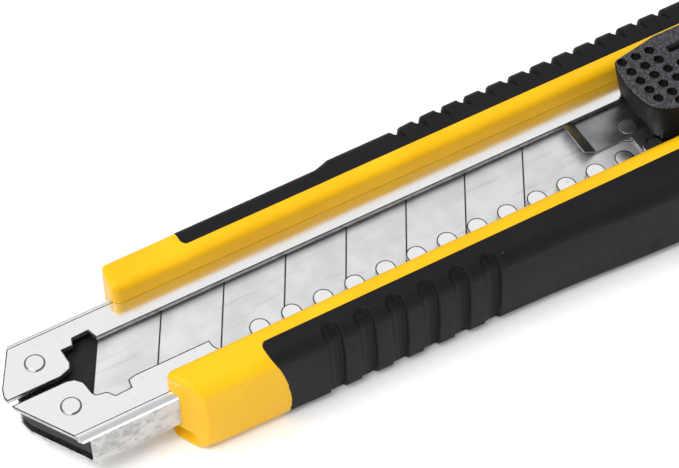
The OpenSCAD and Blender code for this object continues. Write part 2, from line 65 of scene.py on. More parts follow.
# %% Millimetres on the rail
MM = 0.001
RAIL_H, RAIL_HALF = 8.0, 9.8
TOP, BELLY = 3.8, -11.5
rail_low, rail_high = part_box("guide_rail")
shift = np.array([
    rail_high.x / MM, (rail_low.y + rail_high.y) / 2 / MM, rail_low.z / MM + RAIL_H
])
SHELL_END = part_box("handle_shell")[0].x / MM - shift[0]
print("shift from rail to frame, mm:", shift.round(3), "handle ends at", round(SHELL_END, 2))


def to_frame(points):
    """Rail millimetres to frame metres."""
    return (np.asarray(points, float) + shift) * MM


# %% [markdown]
# A material in Blender is a web of nodes. Writing the maths of one as plain Python keeps it readable:
# the class below wraps an output socket, so that adding or multiplying two of them adds a Math node.

# %% Shader maths as Python
class Signal:
    """One number that changes over a surface, carried by an output socket."""

    def __init__(self, finish, socket):
        self.finish, self.socket = finish, socket

    def math(self, operation, *others, **settings):
        return self.finish.node(
            "ShaderNodeMath", {"operation": operation, **settings}, [self, *others]
        )[0]

    def __add__(self, other):
        return self.math("ADD", other)

    def __radd__(self, other):
        return self.math("ADD", other)

    def __sub__(self, other):
        return self.math("SUBTRACT", other)

    def __rsub__(self, other):
        return self.finish.node(
            "ShaderNodeMath", {"operation": "SUBTRACT"}, [other, self]
        )[0]

    def __mul__(self, other):
        return self.math("MULTIPLY", other)

    def __rmul__(self, other):
        return self.math("MULTIPLY", other)


# %% [markdown]
# A finish is one material with its main shader. Its `node` method adds any node: settings are set first,
# because some of them change which sockets the node has, and then sockets take a value or a link.

# %% Finishes
class Finish:
    def __init__(self, name, **fixed):
        self.material = bpy.data.materials.new(name)
        self.material.use_nodes = True
        self.tree = self.material.node_tree
        self.shader = self.tree.nodes["Principled BSDF"]
        for socket, value in fixed.items():
            self.shader.inputs[socket.replace("_", " ")].default_value = value

    def node(self, kind, settings=None, sockets=()):
        made = self.tree.nodes.new(kind)
        for key, value in (settings or {}).items():
            setattr(made, key, value)
        pairs = sockets.items() if isinstance(sockets, dict) else enumerate(sockets)
        for key, value in pairs:
            if isinstance(value, Signal):
                self.tree.links.new(value.socket, made.inputs[key])
            else:
                made.inputs[key].default_value = value
        return [Signal(self, out) for out in made.outputs]

    def place(self, stretch=(1, 1, 1), turn=(0, 0, 0)):
        """Where on the object a point is, in metres, stretched and turned for a grain."""
        where = self.node("ShaderNodeTexCoord")[3]
        return self.node(
            "ShaderNodeMapping", {}, {"Vector": where, "Rotation": turn, "Scale": stretch}
        )[0]

    def noise(self, where, scale, detail=3.0, rough=0.5):
        return self.node(
            "ShaderNodeTexNoise", {},
            {"Vector": where, "Scale": scale, "Detail": detail, "Roughness": rough},
        )[0]

    def ramp(self, value, low, high):
        """0 where value is under low, 1 where it is over high, and smooth between."""
        return self.node(
            "ShaderNodeMapRange", {"interpolation_type": "SMOOTHSTEP"},
            {"Value": value, "From Min": low, "From Max": high},
        )[0]

    def mix(self, share, one, other):
        return self.node(
            "ShaderNodeMix", {"data_type": "RGBA"}, {0: share, 6: one, 7: other}
        )[2]

    def bump(self, height, strength, distance):
        normal = self.node(
            "ShaderNodeBump", {},
            {"Strength": strength, "Distance": distance, "Height": height},
        )[0]
        self.feed("Normal", normal)

    def feed(self, socket, signal):
        self.tree.links.new(signal.socket, self.shader.inputs[socket])


# %% [markdown]
# The handle is glossy yellow moulded plastic. Real moulded plastic is never one flat colour: it has a
# very fine spark-eroded texture and slight clouding in the pigment.

# %% Yellow plastic
def make_yellow_plastic():
    f = Finish("yellow_plastic", Specular_IOR_Level=0.18)
    where = f.place()
    cloud = f.noise(where, 90.0, 4.0)
    shade = f.mix(f.ramp(cloud, 0.3, 0.7), (0.78, 0.43, 0.004, 1), (0.84, 0.48, 0.007, 1))
    f.feed("Base Color", shade)
    f.feed("Roughness", f.noise(where, 700.0, 3.0) * 0.16 + 0.28)
    f.bump(f.noise(where, 6500.0, 2.0), 0.10, 0.00004)
    return f.material


# %% [markdown]
# The grips are moulded over in soft rubber. It is near black but not quite, dull, and a fine even grain
# scatters the light. A few pale specks of dust catch in it.

# %% Grip rubber
def make_grip_rubber():
    f = Finish("grip_rubber", Specular_IOR_Level=0.12)
    where = f.place()
    cloud = f.noise(where, 120.0, 4.0)
    body = f.mix(cloud, (0.006, 0.006, 0.007, 1), (0.011, 0.011, 0.013, 1))
    dust = f.ramp(f.noise(where, 1700.0, 1.0), 0.77, 0.82)
    f.feed("Base Color", f.mix(dust * 0.5, body, (0.12, 0.12, 0.12, 1)))
    f.feed("Roughness", f.noise(where, 900.0, 3.0) * 0.2 + 0.42)
    f.bump(f.noise(where, 9000.0, 3.0), 0.25, 0.00004)
    return f.material


# %% [markdown]
# The rail is bright plated sheet. Plating shows the room, so most of its look comes from the lights. Its
# roughness varies where it has been handled, and it has a few small pits. The outer walls, the cut faces
# and the nose's front faces wear a darker grey copy of the chrome: painted shade, with real mottled
# stains and specks on it. Along every cut edge a thin rim is painted near black, as painted shadow and
# painted dark reflection.

# %% Rail chrome
def make_rail_chrome():
    f = Finish("rail_chrome", Metallic=1.0)
    smear = f.noise(f.place((1, 3, 3)), 160.0, 4.0)
    pits = f.ramp(f.noise(f.place(), 1500.0, 2.0), 0.70, 0.76)
    f.feed("Base Color", f.mix(pits * 0.5, (0.90, 0.91, 0.92, 1), (0.45, 0.44, 0.43, 1)))
    f.feed("Roughness", smear * 0.20 + pits * 0.2 + 0.10)
    f.bump(f.noise(f.place((0.4, 1, 1)), 900.0, 3.0), 0.10, 0.0001)
    return f.material


# A darker grey copy of the chrome: its grey is painted shade on the walls and cut faces, and its cloud
# and specks are stains.
def make_rail_wall():
    f = Finish("rail_wall", Metallic=1.0)
    cloud = f.ramp(f.noise(f.place(), 480.0, 5.0, 0.7), 0.40, 0.66)
    specks = f.ramp(f.noise(f.place(), 1500.0, 3.0), 0.58, 0.68)
    wall_shade_and_stain = f.mix(cloud, (0.54, 0.54, 0.54, 1), (0.38, 0.38, 0.37, 1))
    f.feed("Base Color", f.mix(specks * 0.55, wall_shade_and_stain, (0.16, 0.15, 0.14, 1)))
    f.feed("Roughness", cloud * 0.2 + 0.28)
    f.bump(cloud + specks, 0.15, 0.00005)
    return f.material


# Near black with a slight mottle: painted shadow and painted dark reflection along the cut edges.
def make_painted_edge_shade():
    f = Finish("painted_edge_shade", Metallic=1.0)
    edge_mottle = f.noise(f.place(), 1200.0, 4.0)
    f.feed("Base Color",
           f.mix(f.ramp(edge_mottle, 0.35, 0.7), (0.02, 0.02, 0.02, 1), (0.10, 0.10, 0.10, 1)))
    f.feed("Roughness", edge_mottle * 0.3 + 0.3)
    return f.material


# %% [markdown]
# The blade is ground steel. Grinding leaves fine parallel lines, which are made by stretching a noise
# along their direction, square to the score lines. The score lines repeat along the blade, so one
# sawtooth of the distance from the tip draws them all, painted dark as the shade in the cut.

# %% Blade steel
SCORE_PITCH, SCORE_ANGLE, SCORES = 10.0, math.radians(60), 7


def make_blade_steel(name, node):
    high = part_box(node)[1]
    f = Finish(name, Metallic=1.0)
    x, y, _ = f.node("ShaderNodeSeparateXYZ", {}, [f.place()])
    along = math.sin(SCORE_ANGLE) * 1000
    across = math.cos(SCORE_ANGLE) * 1000
    distance = (x - high.x) * along - (y - high.y) * across
    turns = distance * (-1 / (SCORE_PITCH * math.sin(SCORE_ANGLE)))
    off = turns.math("PINGPONG", 0.5) * (SCORE_PITCH * math.sin(SCORE_ANGLE))
    inside = turns.math("LESS_THAN", SCORES + 0.3)
    # The score lines are painted near black, as painted shade in the scored grooves, which have no
    # geometry.
    line = (1 - f.ramp(off, 0.07, 0.16)) * inside
    lines = f.noise(f.place((60, 2600, 400), (0, 0, math.radians(30))), 1.0, 3.0, 0.6)
    patch = f.noise(f.place(), 240.0, 5.0)
    streak = f.noise(f.place((90, 900, 200), (0, 0, math.radians(30))), 1.0, 3.0, 0.6)
    steel = f.mix(f.ramp(patch, 0.3, 0.7), (0.66, 0.67, 0.68, 1), (0.76, 0.77, 0.78, 1))
    steel = f.mix(f.ramp(streak, 0.55, 0.72) * 0.5, steel, (0.52, 0.52, 0.52, 1))
    f.feed("Base Color", f.mix(line, steel, (0.05, 0.05, 0.05, 1)))
    f.feed("Roughness", lines * 0.16 + patch * 0.10 + line * 0.3 + 0.26)
    f.bump(lines, 0.12, 0.00002)
    return f.material


# %% [markdown]
# Springs and rivets share one recipe. A noise stretched along X gives the drawn lines of rolled strip,
# and two greys, mixed by a slow cloud, make one steel brighter than the other.

# %% Spring steel and dark steel
def make_strip_steel(name, dark, light, rough):
    f = Finish(name, Metallic=1.0)
    lines = f.noise(f.place((120, 2400, 400)), 1.0, 3.0, 0.6)
    f.feed("Base Color", f.mix(f.ramp(f.noise(f.place(), 300.0, 4.0), 0.3, 0.7), dark, light))
    f.feed("Roughness", lines * 0.2 + rough)
    f.bump(lines, 0.1, 0.00002)
    return f.material


# %% [markdown]
# The pad and the blocks are hard black plastic with a coarser texture than the grips. On the pad it
# breaks into grey speckle, because the tops of the grain catch the light.

# %% Hard black plastics
def make_hard_plastic(name, dark, light, speckle, shine=0.2):
    f = Finish(name, Specular_IOR_Level=shine)
    where = f.place()
    grain = f.noise(where, 3200.0, 3.0, 0.6)
    f.feed("Base Color", f.mix(f.ramp(grain, 0.42, 0.62) * speckle, dark, light))
    f.feed("Roughness", f.noise(where, 800.0, 3.0) * 0.18 + 0.42)
    f.bump(grain, 0.3, 0.00005)
    return f.material


finishes = {
    "yellow_plastic": make_yellow_plastic(),
    "grip_rubber": make_grip_rubber(),
    "rail_chrome": make_rail_chrome(),
    "rail_wall": make_rail_wall(),
    "painted_edge_shade": make_painted_edge_shade(),
    "blade_steel": make_blade_steel("blade_steel", "working_blade"),
    "blade_steel_upper": make_blade_steel("blade_steel_upper", "upper_spare_blade"),
    "blade_steel_lower": make_blade_steel("blade_steel_lower", "lower_spare_blade"),
    "spring_steel": make_strip_steel(
        "spring_steel", (0.20, 0.21, 0.22, 1), (0.30, 0.31, 0.32, 1), 0.24
    ),
    "dark_steel": make_strip_steel(
        "dark_steel", (0.24, 0.24, 0.25, 1), (0.36, 0.36, 0.37, 1), 0.3
    ),
    "black_plastic": make_hard_plastic(
        "black_plastic", (0.008, 0.008, 0.009, 1), (0.02, 0.02, 0.022, 1), 0.6
    ),
    "pad_plastic": make_hard_plastic(
        "pad_plastic", (0.022, 0.022, 0.025, 1), (0.080, 0.080, 0.088, 1), 0.9
    ),
    # The pad's walls: the same plastic painted darker, as painted shade.
    "pad_side_shade": make_hard_plastic(
        "pad_side_shade", (0.004, 0.004, 0.005, 1), (0.009, 0.009, 0.010, 1), 0.6, 0.08
    ),
    # Near black: painted shade inside the dimples and slots.
    "pad_hollow_shade": make_hard_plastic(
        "pad_hollow_shade", (0.002, 0.002, 0.002, 1), (0.006, 0.006, 0.007, 1), 0.6, 0.1
    ),
}
print("finishes:", ", ".join(finishes))


# %% [markdown]
# Every new piece is handed over the same way: it gets its mesh, its finish and the body it moves with,
# and the frame's nodes that it stands for are hidden.

# %% Hand a piece over
def hand_over(obj, slot, body, *nodes, finish=(), second=()):
    """`finish` names the main finish where it isn't the slot's own, and `second` any others, which
    the faces with material index 1, 2 and so on wear."""
    worn = [face.material_index for face in obj.data.polygons]
    obj.data.materials.clear()
    for name in (finish or slot, *second):
        obj.data.materials.append(finishes[name])
    obj.data.polygons.foreach_set("material_index", worn)
    if body:
        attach(obj, body)
    if nodes:
        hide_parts(*nodes)
    return obj


def new_piece(name, points, faces):
    mesh = bpy.data.meshes.new(name)
    mesh.from_pydata(to_frame(points).tolist(), [], [tuple(map(int, f)) for f in faces])
    b = bmesh.new()
    b.from_mesh(mesh)
    bmesh.ops.recalc_face_normals(b, faces=b.faces)
    b.to_mesh(mesh)
    b.free()
    obj = bpy.data.objects.new(name, mesh)
    bpy.context.scene.collection.objects.link(obj)
    print(name, len(mesh.vertices), "points")
    return obj


def soften(obj, degrees):
    """Smooth shading, kept sharp where two faces meet at more than this angle."""
    b = bmesh.new()
    b.from_mesh(obj.data)
    for face in b.faces:
        face.smooth = True
    for edge in b.edges:
        edge.smooth = len(edge.link_faces) == 2 and edge.calc_face_angle(0) < math.radians(degrees)
    b.to_mesh(obj.data)
    b.free()


# %% [markdown]
# The sheet-metal and small pieces already have the right shape in the frame, but their edges are
# perfectly sharp, and nothing real is. Each one is copied, its triangles are merged into whole faces,
# and every sharp edge gets a narrow round bevel that catches the light.

# %% Bevelled copies of the frame's pieces
def bevelled(node, slot, body, width_mm, segments=2, sharp=28, choose=None, outline=0,
             **looks):
    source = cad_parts[node]
    b = bmesh.new()
    b.from_mesh(source.data)
    bmesh.ops.remove_doubles(b, verts=b.verts, dist=1e-6)
    bmesh.ops.dissolve_limit(
        b, angle_limit=math.radians(0.6), verts=b.verts, edges=b.edges, delimit={"NORMAL"}
    )
    edges = [e for e in b.edges if len(e.link_faces) == 2
             and e.calc_face_angle(0) > math.radians(sharp)]
    bmesh.ops.bevel(
        b, geom=edges, offset=width_mm * MM, segments=segments, profile=0.5,
        affect="EDGES", clamp_overlap=True,
    )
    # The outline is a thin ring inset round the top faces, and it wears the painted edge shade.
    if outline:
        b.normal_update()
        flat = [f for f in b.faces if f.normal.z > 0.999
                and max(abs(v.co.z - shift[2] * MM) for v in f.verts) < 2e-6]
        print("top faces given a rim:", len(flat))
        ring = bmesh.ops.inset_region(b, faces=flat, thickness=outline * MM, use_even_offset=True,
                                      use_boundary=True)["faces"]
        for face in ring:
            face.material_index = 9
    mesh = bpy.data.meshes.new(node + "_fine")
    b.to_mesh(mesh)
    b.free()
    obj = bpy.data.objects.new(node + "_fine", mesh)
    bpy.context.scene.collection.objects.link(obj)
    soften(obj, 50)
    obj.modifiers.new("flat faces stay flat", "WEIGHTED_NORMAL").keep_sharp = True
    if choose:
        for face in mesh.polygons:
            x, y, z = np.array(face.center) / MM - shift
            face.material_index = choose(x, y, z, face.normal, face.material_index == 9)
    print(obj.name, len(mesh.vertices), "points")
    return hand_over(obj, slot, body, node, **looks)


def rail_finish(x, y, z, normal, in_ring):
    """1 on the outer walls and the cut faces, which wear the chrome's darker copy, painted shade with
    real stains; 2 on the thin rim along each cut edge, painted near black as shadow and dark reflection;
    and 0 elsewhere.
    """
    lip = z > -0.75 and (abs(y) < 9.0 or x > -6)
    if in_ring and lip or (lip and z > -0.15 and 0.2 < normal.z < 0.95):
        return 2
    # Walls, cut faces and the nose's front faces take the darker copy, which is painted shade.
    wall_shade = (abs(y) > RAIL_HALF - 0.05 and z < -1) or (lip and abs(normal.z) < 0.2)
    return 1 if wall_shade or (x > -9 and normal.x > 0.3) else 0


bevelled("guide_rail", "rail_chrome", "handle", 0.1, choose=rail_finish, outline=0.14,
         second=("rail_wall", "painted_edge_shade"))
bevelled("working_blade", "blade_steel", "slider", 0.02, 1)
bevelled("upper_spare_blade", "blade_steel", "spare_stack", 0.02, 1, finish="blade_steel_upper")
bevelled("lower_spare_blade", "blade_steel", "spare_stack", 0.02, 1, finish="blade_steel_lower")
bevelled("blade_carrier", "spring_steel", "slider", 0.06)
bevelled("blade_stud", "dark_steel", "slider", 0.08)
bevelled("carrier_rivets", "dark_steel", "slider", 0.08)
bevelled("slider_carriage", "black_plastic", "slider", 0.12)
bevelled("lock_spring", "spring_steel", "slider", 0.04)
bevelled("lock_spring_rivet", "dark_steel", "slider", 0.06)
bevelled("lift_plate", "spring_steel", "spare_stack", 0.08)
spring = bevelled("magazine_spring", "spring_steel", None, 0.05)
bevelled("nose_block", "black_plastic", "handle", 0.15)
bevelled("nose_rivet", "dark_steel", "handle", 0.12)
bevelled("rear_block", "black_plastic", "handle", 0.15)
bevelled("rail_screws", "dark_steel", "handle", 0.12)
bevelled("end_cap", "black_plastic", "cap", 0.3, 3)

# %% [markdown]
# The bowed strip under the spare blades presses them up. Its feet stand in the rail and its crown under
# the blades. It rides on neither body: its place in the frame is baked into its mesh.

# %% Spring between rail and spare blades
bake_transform(spring)


# %% [markdown]
# The handle is one smooth skin, with the yellow shell showing where no grip covers it. So both are
# drawn from the same cross-section. Half a cross-section runs from the foot of the bar beside the slot,
# over the bar's top, down the side and under the belly to the middle. Each point comes with the way it
# faces, so that the skin can be moved in or out.

# %% Half a cross-section of the handle
SEAM, BELLY_SEAM = 9.9, 9.2


def arc(cy, cz, r, start, end, count):
    a = np.radians(np.linspace(start, end, count))
    return [(cy + r * math.cos(t), cz + r * math.sin(t), math.cos(t), math.sin(t)) for t in a]


def half_section(inner, outer, r_inner, r_top, r_low, crown, detail=1):
    room = max(outer - inner, 0.05)
    squeeze = min(1.0, 0.94 * room / (r_inner + r_top))
    r_in, r_out = r_inner * squeeze, r_top * squeeze
    r_low = min(r_low, r_out + 1.2)
    flat0, flat1 = inner + r_in, outer - r_out
    seam = min(SEAM, flat1)
    before = [seam - (seam - flat0) * t for t in (0.7, 0.4, 0.15, 0.06, 0)]
    after = [seam + (flat1 - seam) * t for t in np.linspace(0, 1, 3 + 6 * detail)[1:-1] ** 1.3]
    points = [(inner, 0.05, -1, 0), (inner, 1.4, -1, 0)]
    points += arc(flat0, TOP - r_in, r_in, 180, 90, 8)
    points += [(y, TOP, 0, 1) for y in before]
    points += [(y, TOP, 0, 1) for y in after]
    points += arc(flat1, TOP - r_out, r_out, 90, 0, 12 * detail)
    z0, z1 = TOP - r_out, BELLY + r_low
    for t in np.linspace(0, 1, 16 * detail)[1:-1]:
        points.append((outer + crown * 4 * t * (1 - t), z0 + (z1 - z0) * t, 1, 0))
    points += arc(outer - r_low, BELLY + r_low, r_low, 0, -90, 9)
    end = min(BELLY_SEAM, outer - r_low)
    points += [(y, BELLY, 0, -1) for y in (end + 0.2, end, end - 0.2, end / 2, 0)]
    return np.array(points, float)


SEAM_POINT = 14  # which point of a half-section lies on the seam on top
BELLY_POINT = -4  # and which on the seam underneath


# %% [markdown]
# The sides swell where the hand holds them. These curves give how far each side stands out beyond the
# rail, from the front of the collar to the rear end. A monotone cubic keeps them smooth with no ripple.

# %% How far the sides reach
def smooth_curve(xs, ys, x):
    xs, ys = np.array(xs, float), np.array(ys, float)
    step, rise = np.diff(xs), np.diff(ys)
    slope = rise / step
    tangent = np.zeros_like(ys)
    tangent[0], tangent[-1] = slope[0], slope[-1]
    for i in range(1, len(xs) - 1):
        if slope[i - 1] * slope[i] > 0:
            tangent[i] = 2 * slope[i - 1] * slope[i] / (slope[i - 1] + slope[i])
    i = int(np.clip(np.searchsorted(xs, x) - 1, 0, len(step) - 1))
    t = float(np.clip((x - xs[i]) / step[i], 0, 1))
    return (
        ys[i] * (2 * t**3 - 3 * t**2 + 1) + tangent[i] * step[i] * (t**3 - 2 * t**2 + t)
        + ys[i + 1] * (3 * t**2 - 2 * t**3) + tangent[i + 1] * step[i] * (t**3 - t**2)
    )


COLLAR = 20.0
BACK_REACH = (
    [20, 31.9, 55.1, 57.6, 67.7, 75.5, 127, 157],
    [3.35, 3.4, 3.5, 4.25, 4.3, 4.74, 4.74, 3.7],
)
FRONT_REACH = (
    [20, 23.6, 33.3, 58, 80, 100, 115, 140, 157],
    [3.45, 3.6, 3.9, 4.5, 5.2, 6.5, 6.93, 5.6, 4.2],
)
SIDES = {
    -1: dict(reach=BACK_REACH, inner=7.9, r_top=1.6, crown=0.0),
    1: dict(reach=FRONT_REACH, inner=7.4, r_top=2.6, crown=0.25),
}


def side_section(side, x, detail=1):
    s = SIDES[side]
    outer = RAIL_HALF + smooth_curve(*s["reach"], -x)
    # The crown fades out near the widest place, so that the side stays inside the frame
    crown = s["crown"] * min(1.0, max(0.0, (7.0 - (outer - RAIL_HALF)) / 2))
    return half_section(s["inner"], outer, 1.5, s["r_top"], 2.0, crown, detail)


print("section points:", len(side_section(1, -60)), "reach at 100 mm:",
      round(smooth_curve(*FRONT_REACH, 100), 2))


# %% [markdown]
# The two grips begin at a seam across the side. On the back it is straight with one rounded corner. By
# the fingers it curves: it leans rearward down the side. The same curve cuts the grips and sinks the
# yellow shell under them, so the seam is always closed.

# %% Where each grip begins
CORNER = 1.2
FINGER_SEAM = ([-3.8, -0.7, 3.7, 7.1, 9.9, 11.5], [33.35, 34.6, 35.5, 35.9, 35.8, 35.3])


def grip_front(side, y, z):
    start = -31.9 if side < 0 else -smooth_curve(*FINGER_SEAM, -z)
    from_seam = y - SEAM if z > TOP - 0.6 else (y - BELLY_SEAM if z < BELLY + 0.3 else CORNER)
    t = min(max(from_seam, 0.0), CORNER)
    return start - CORNER + math.sqrt(max(CORNER**2 - (CORNER - t) ** 2, 0.0))


print("finger seam on top and at mid side:", round(grip_front(1, 12, TOP), 2),
      round(grip_front(1, 13, -5), 2))


# %% [markdown]
# Holes are cut with the Boolean modifier. Its result is kept as the piece's own mesh, and the cutter is
# thrown away, so nothing is left that could be exported by mistake.

# %% Carving with cutters
def carve(obj, cutters):
    for cutter in cutters:
        cut = obj.modifiers.new("cut", "BOOLEAN")
        cut.operation, cut.solver, cut.object = "DIFFERENCE", "EXACT", cutter
    bpy.context.view_layer.update()
    done = bpy.data.meshes.new_from_object(obj.evaluated_get(bpy.context.evaluated_depsgraph_get()))
    obj.modifiers.clear()
    obj.data = done
    for cutter in cutters:
        bpy.data.objects.remove(cutter)


def round_cutter(x, r, z0, z1):
    """An upright cylinder on the rail's centreline."""
    b = bmesh.new()
    bmesh.ops.create_cone(b, cap_ends=True, segments=48, radius1=r * MM, radius2=r * MM,
                          depth=(z1 - z0) * MM)
    bmesh.ops.translate(b, verts=b.verts, vec=Vector(to_frame([x, 0, (z0 + z1) / 2])))
    mesh = bpy.data.meshes.new("cutter")
    b.to_mesh(mesh)
    b.free()
    obj = bpy.data.objects.new("cutter", mesh)
    bpy.context.scene.collection.objects.link(obj)
    return obj


# %% [markdown]
# The shell is a loft: one cross-section after another, joined by faces. Its front edge is rounded by
# moving the skin inward over the first station spacing, along a quarter circle, and the front leans back
# towards both sides. Under each grip the skin is sunk to make room for the rubber.

# %% Yellow shell
def grid_faces(rows, columns, wrap=True):
    faces = []
    for i in range(rows - 1):
        for j in range(columns if wrap else columns - 1):
            k = (j + 1) % columns
            faces.append((i * columns + j, i * columns + k,
                          (i + 1) * columns + k, (i + 1) * columns + j))
    return faces


def seat_points():
    """The hollow that the rail sits in, from the back bar's foot round to the front bar's."""
    half, low, r = RAIL_HALF + 0.04, -RAIL_H - 0.04, 1.1
    side = [(-half + r, 0.05)] + [p[:2] for p in arc(-half + r, -r, r, 90, 180, 6)]
    side += [p[:2] for p in arc(-half + r, low + r, r, 180, 270, 6)]
    return side + [(-y, z) for y, z in reversed(side)]


POCKET, ROUND_FRONT = 1.2, 0.8
FRONT_LEAN = {
    -1: ([7.9, 8.2, 8.6, 13.3], [0.4, 0.15, 0.0, 0.5]),
    1: ([7.4, 7.7, 8.1, 8.6, 9.9, 11.8, 13.1, 13.6], [0.9, 0.45, 0.15, 0.2, 1.0, 2.0, 2.9, 3.3]),
}


def shell_ring(x, inset):
    halves = []
    for side in (1, -1):
        section = side_section(side, x)
        y, z, ny, nz = section.T
        sink = np.full(len(y), inset)
        for i in range(SEAM_POINT + 2, len(y) + BELLY_POINT - 1):
            depth = (grip_front(side, y[i], z[i]) - 0.35 - x) / 0.3
            sink[i] += POCKET * min(max(depth, 0.0), 1.0)
        halves.append(np.column_stack([side * (y - ny * sink), z - nz * sink]))
    front, back = halves
    ring = np.vstack([front, back[-2::-1], seat_points()])
    reach = np.abs(ring[:, 0])
    lean = np.where(ring[:, 0] > 0, np.interp(reach, *FRONT_LEAN[1]),
                    np.interp(reach, *FRONT_LEAN[-1]))
    lean = lean * min(max((25 + x) / 5, 0.0), 1.0)
    return np.column_stack([x - lean, ring])


def shell_stations():
    yield from ((-COLLAR - ROUND_FRONT * (1 - math.cos(t)), ROUND_FRONT * (1 - math.sin(t)))
                for t in np.radians([0, 15, 30, 45, 60, 75, 90]))
    steps = list(np.arange(21.1, 25, 0.3)) + list(np.arange(25.5, 31.5, 1.0))
    steps += list(np.arange(31.7, 37.6, 0.15)) + list(np.arange(38.5, -SHELL_END - 0.3, 2.0))
    yield from ((-x, 0.0) for x in steps + [-SHELL_END - 0.3])
    yield from ((SHELL_END + 0.1, 0.08), (SHELL_END, 0.25))


rings = [shell_ring(x, inset) for x, inset in shell_stations()]
count = len(rings[0])
shell_faces = grid_faces(len(rings), count)
for first in (0, len(rings) - 1):
    flat = [Vector((0.0, *point[1:])) for point in rings[first]]
    shell_faces += [tuple(first * count + k for k in tri) for tri in tessellate_polygon([flat])]
shell = new_piece("handle_shell_fine", np.vstack(rings), shell_faces)
screws_low, screws_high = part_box("rail_screws")
head_r = (screws_high.y - screws_low.y) / 2 / MM
screw_xs = (screws_low.x / MM - shift[0] + head_r, screws_high.x / MM - shift[0] - head_r)
carve(shell, [round_cutter(x, head_r + 0.15, BELLY - 1, BELLY + 1.6) for x in screw_xs]
      + [round_cutter(x, head_r / 2 + 0.2, BELLY - 1, -RAIL_H + 1) for x in screw_xs])
soften(shell, 50)
print("screw recesses in the belly at", [round(x, 2) for x in screw_xs])
hand_over(shell, "yellow_plastic", "handle", "handle_shell")


# %% [markdown]
# Behind the slot the two bars are joined by a deck. It is a plate with rounded edges that fills the gap
# between them, so a fine groove shows where they meet.

# %% Deck behind the slot
def rounded_plate(name, x0, x1, y0, y1, z0, z1, r):
    b = bmesh.new()
    bmesh.ops.create_cube(b, size=1)
    for v in b.verts:
        v.co = Vector(to_frame([
            x0 + (x1 - x0) * (v.co.x + 0.5), y0 + (y1 - y0) * (v.co.y + 0.5),
            z0 + (z1 - z0) * (v.co.z + 0.5),
        ]))
    bmesh.ops.bevel(b, geom=b.edges[:], offset=r * MM, segments=4, profile=0.5, affect="EDGES")
    mesh = bpy.data.meshes.new(name)
    b.to_mesh(mesh)
    b.free()
    obj = bpy.data.objects.new(name, mesh)
    bpy.context.scene.collection.objects.link(obj)
    soften(obj, 40)
    return obj


carriage_low, carriage_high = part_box("slider_carriage")
pad_low, pad_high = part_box("thumb_pad")
SLIDER_BACK, DECK_GAP = 5.09, 1.8  # how far the slider goes back, and the room left behind it
DECK_X = pad_low.x / MM - shift[0] - SLIDER_BACK - DECK_GAP
hand_over(rounded_plate("handle_deck", SHELL_END, DECK_X, -7.9, 7.4, 0.06, TOP - 0.15, 0.25),
          "yellow_plastic", "handle", "handle_shell")
print("deck starts at", round(DECK_X, 2))


# %% [markdown]
# The rubber grips are grids that follow the same skin. Their borders curl inward, as moulded rubber does
# where it meets hard plastic, and an inner copy closes them. The ridges for the palm and the grooves for
# the fingers are depths taken off the skin, so they are real geometry.

# %% Depth of the ridges on the back
FIRST_RIDGE, RIDGE_PITCH, LAST_RIDGE = 68.6, 3.88, 12


def step_up(low, high, v):
    t = np.clip((v - low) / (high - low), 0, 1)
    return t * t * (3 - 2 * t)


def ridge_depth(x, y, z, outer):
    """Notches at one pitch, steep in front and sloping behind. On top each turns back and fades out."""
    in_from_edge = np.maximum(outer - y, 0) * (z > TOP - 1.7)
    turn = 0.9 * step_up(0.9, 2.6, in_from_edge)
    phase = (-FIRST_RIDGE - turn - x) / RIDGE_PITCH
    nearest = np.clip(np.round(phase), 0, LAST_RIDGE)
    off = (phase - nearest) * RIDGE_PITCH
    strength = 1 - step_up(1.8, 3.4, in_from_edge)
    width = np.where(off > 0, 1.2, 0.62) * (0.35 + 0.65 * (1 - step_up(1.3, 2.3, in_from_edge)))
    depth = 0.88 * step_up(0, 1, 1.25 * (1 - np.abs(off) / width))
    return depth * strength * (1 - step_up(7.5, 10.5, -z))


# %% [markdown]
# Each groove is a slot with a half-round top end, so the depth comes from the distance to a straight
# line below that end and to a point at it. The rear wall is steeper than the front one.

# %% Depth of the finger grooves
FIRST_GROOVE, GROOVE_PITCH, LAST_GROOVE, GROOVE_HALF = 43.1, 5.05, 5, 1.35


def groove_depth(x, y, z, run):
    """Six upright grooves: round at the top, steep at the rear and easy in front."""
    lean = 0.75 * np.clip((3 - z) / 13.5, 0, 1) ** 0.7
    phase = (-FIRST_GROOVE - lean - x) / GROOVE_PITCH
    nearest = np.clip(np.round(phase), 0, LAST_GROOVE)
    q = -(phase - nearest) * GROOVE_PITCH
    half = GROOVE_HALF
    into = np.where(run < half, half - np.hypot(q, half - run), half - np.abs(q))
    rear = 1 - step_up(-0.4, 0.4, q)
    wall = 0.45 - 0.15 * rear
    depth = step_up(0, 1, into / wall) * (0.58 - 0.14 * q / half + 0.14 * rear)
    return depth * (1 - step_up(10.6, 11.4, -z)) * (run > 0)


# %% [markdown]
# A grip is a grid of stations along the handle. Stations are close together where the relief needs
# them and far apart on the plain rear part. The depth function is handed in, so both grips share one
# builder.

# %% Grips
PROUD, CURL = 0.05, 0.32
GRIP_DEPTH = 1.3  # a little more than the pocket, so no yellow shows through a notch


def grip_stations(length, fine_from, fine_to, pitch):
    near = [0, 0.04, 0.1, 0.18, 0.28, 0.4, 0.6, 0.9, 1.3, 1.9, 2.8]
    fine = list(np.arange(fine_from, fine_to, pitch))
    early = list(np.arange(4, fine_from - 0.2, 1.2))
    late = list(np.arange(fine_to + 0.3, length - 1.0, 2.0))
    return np.array(near + early + fine + late + [length - d for d in (0.5, 0.3, 0.15, 0.05, 0)])


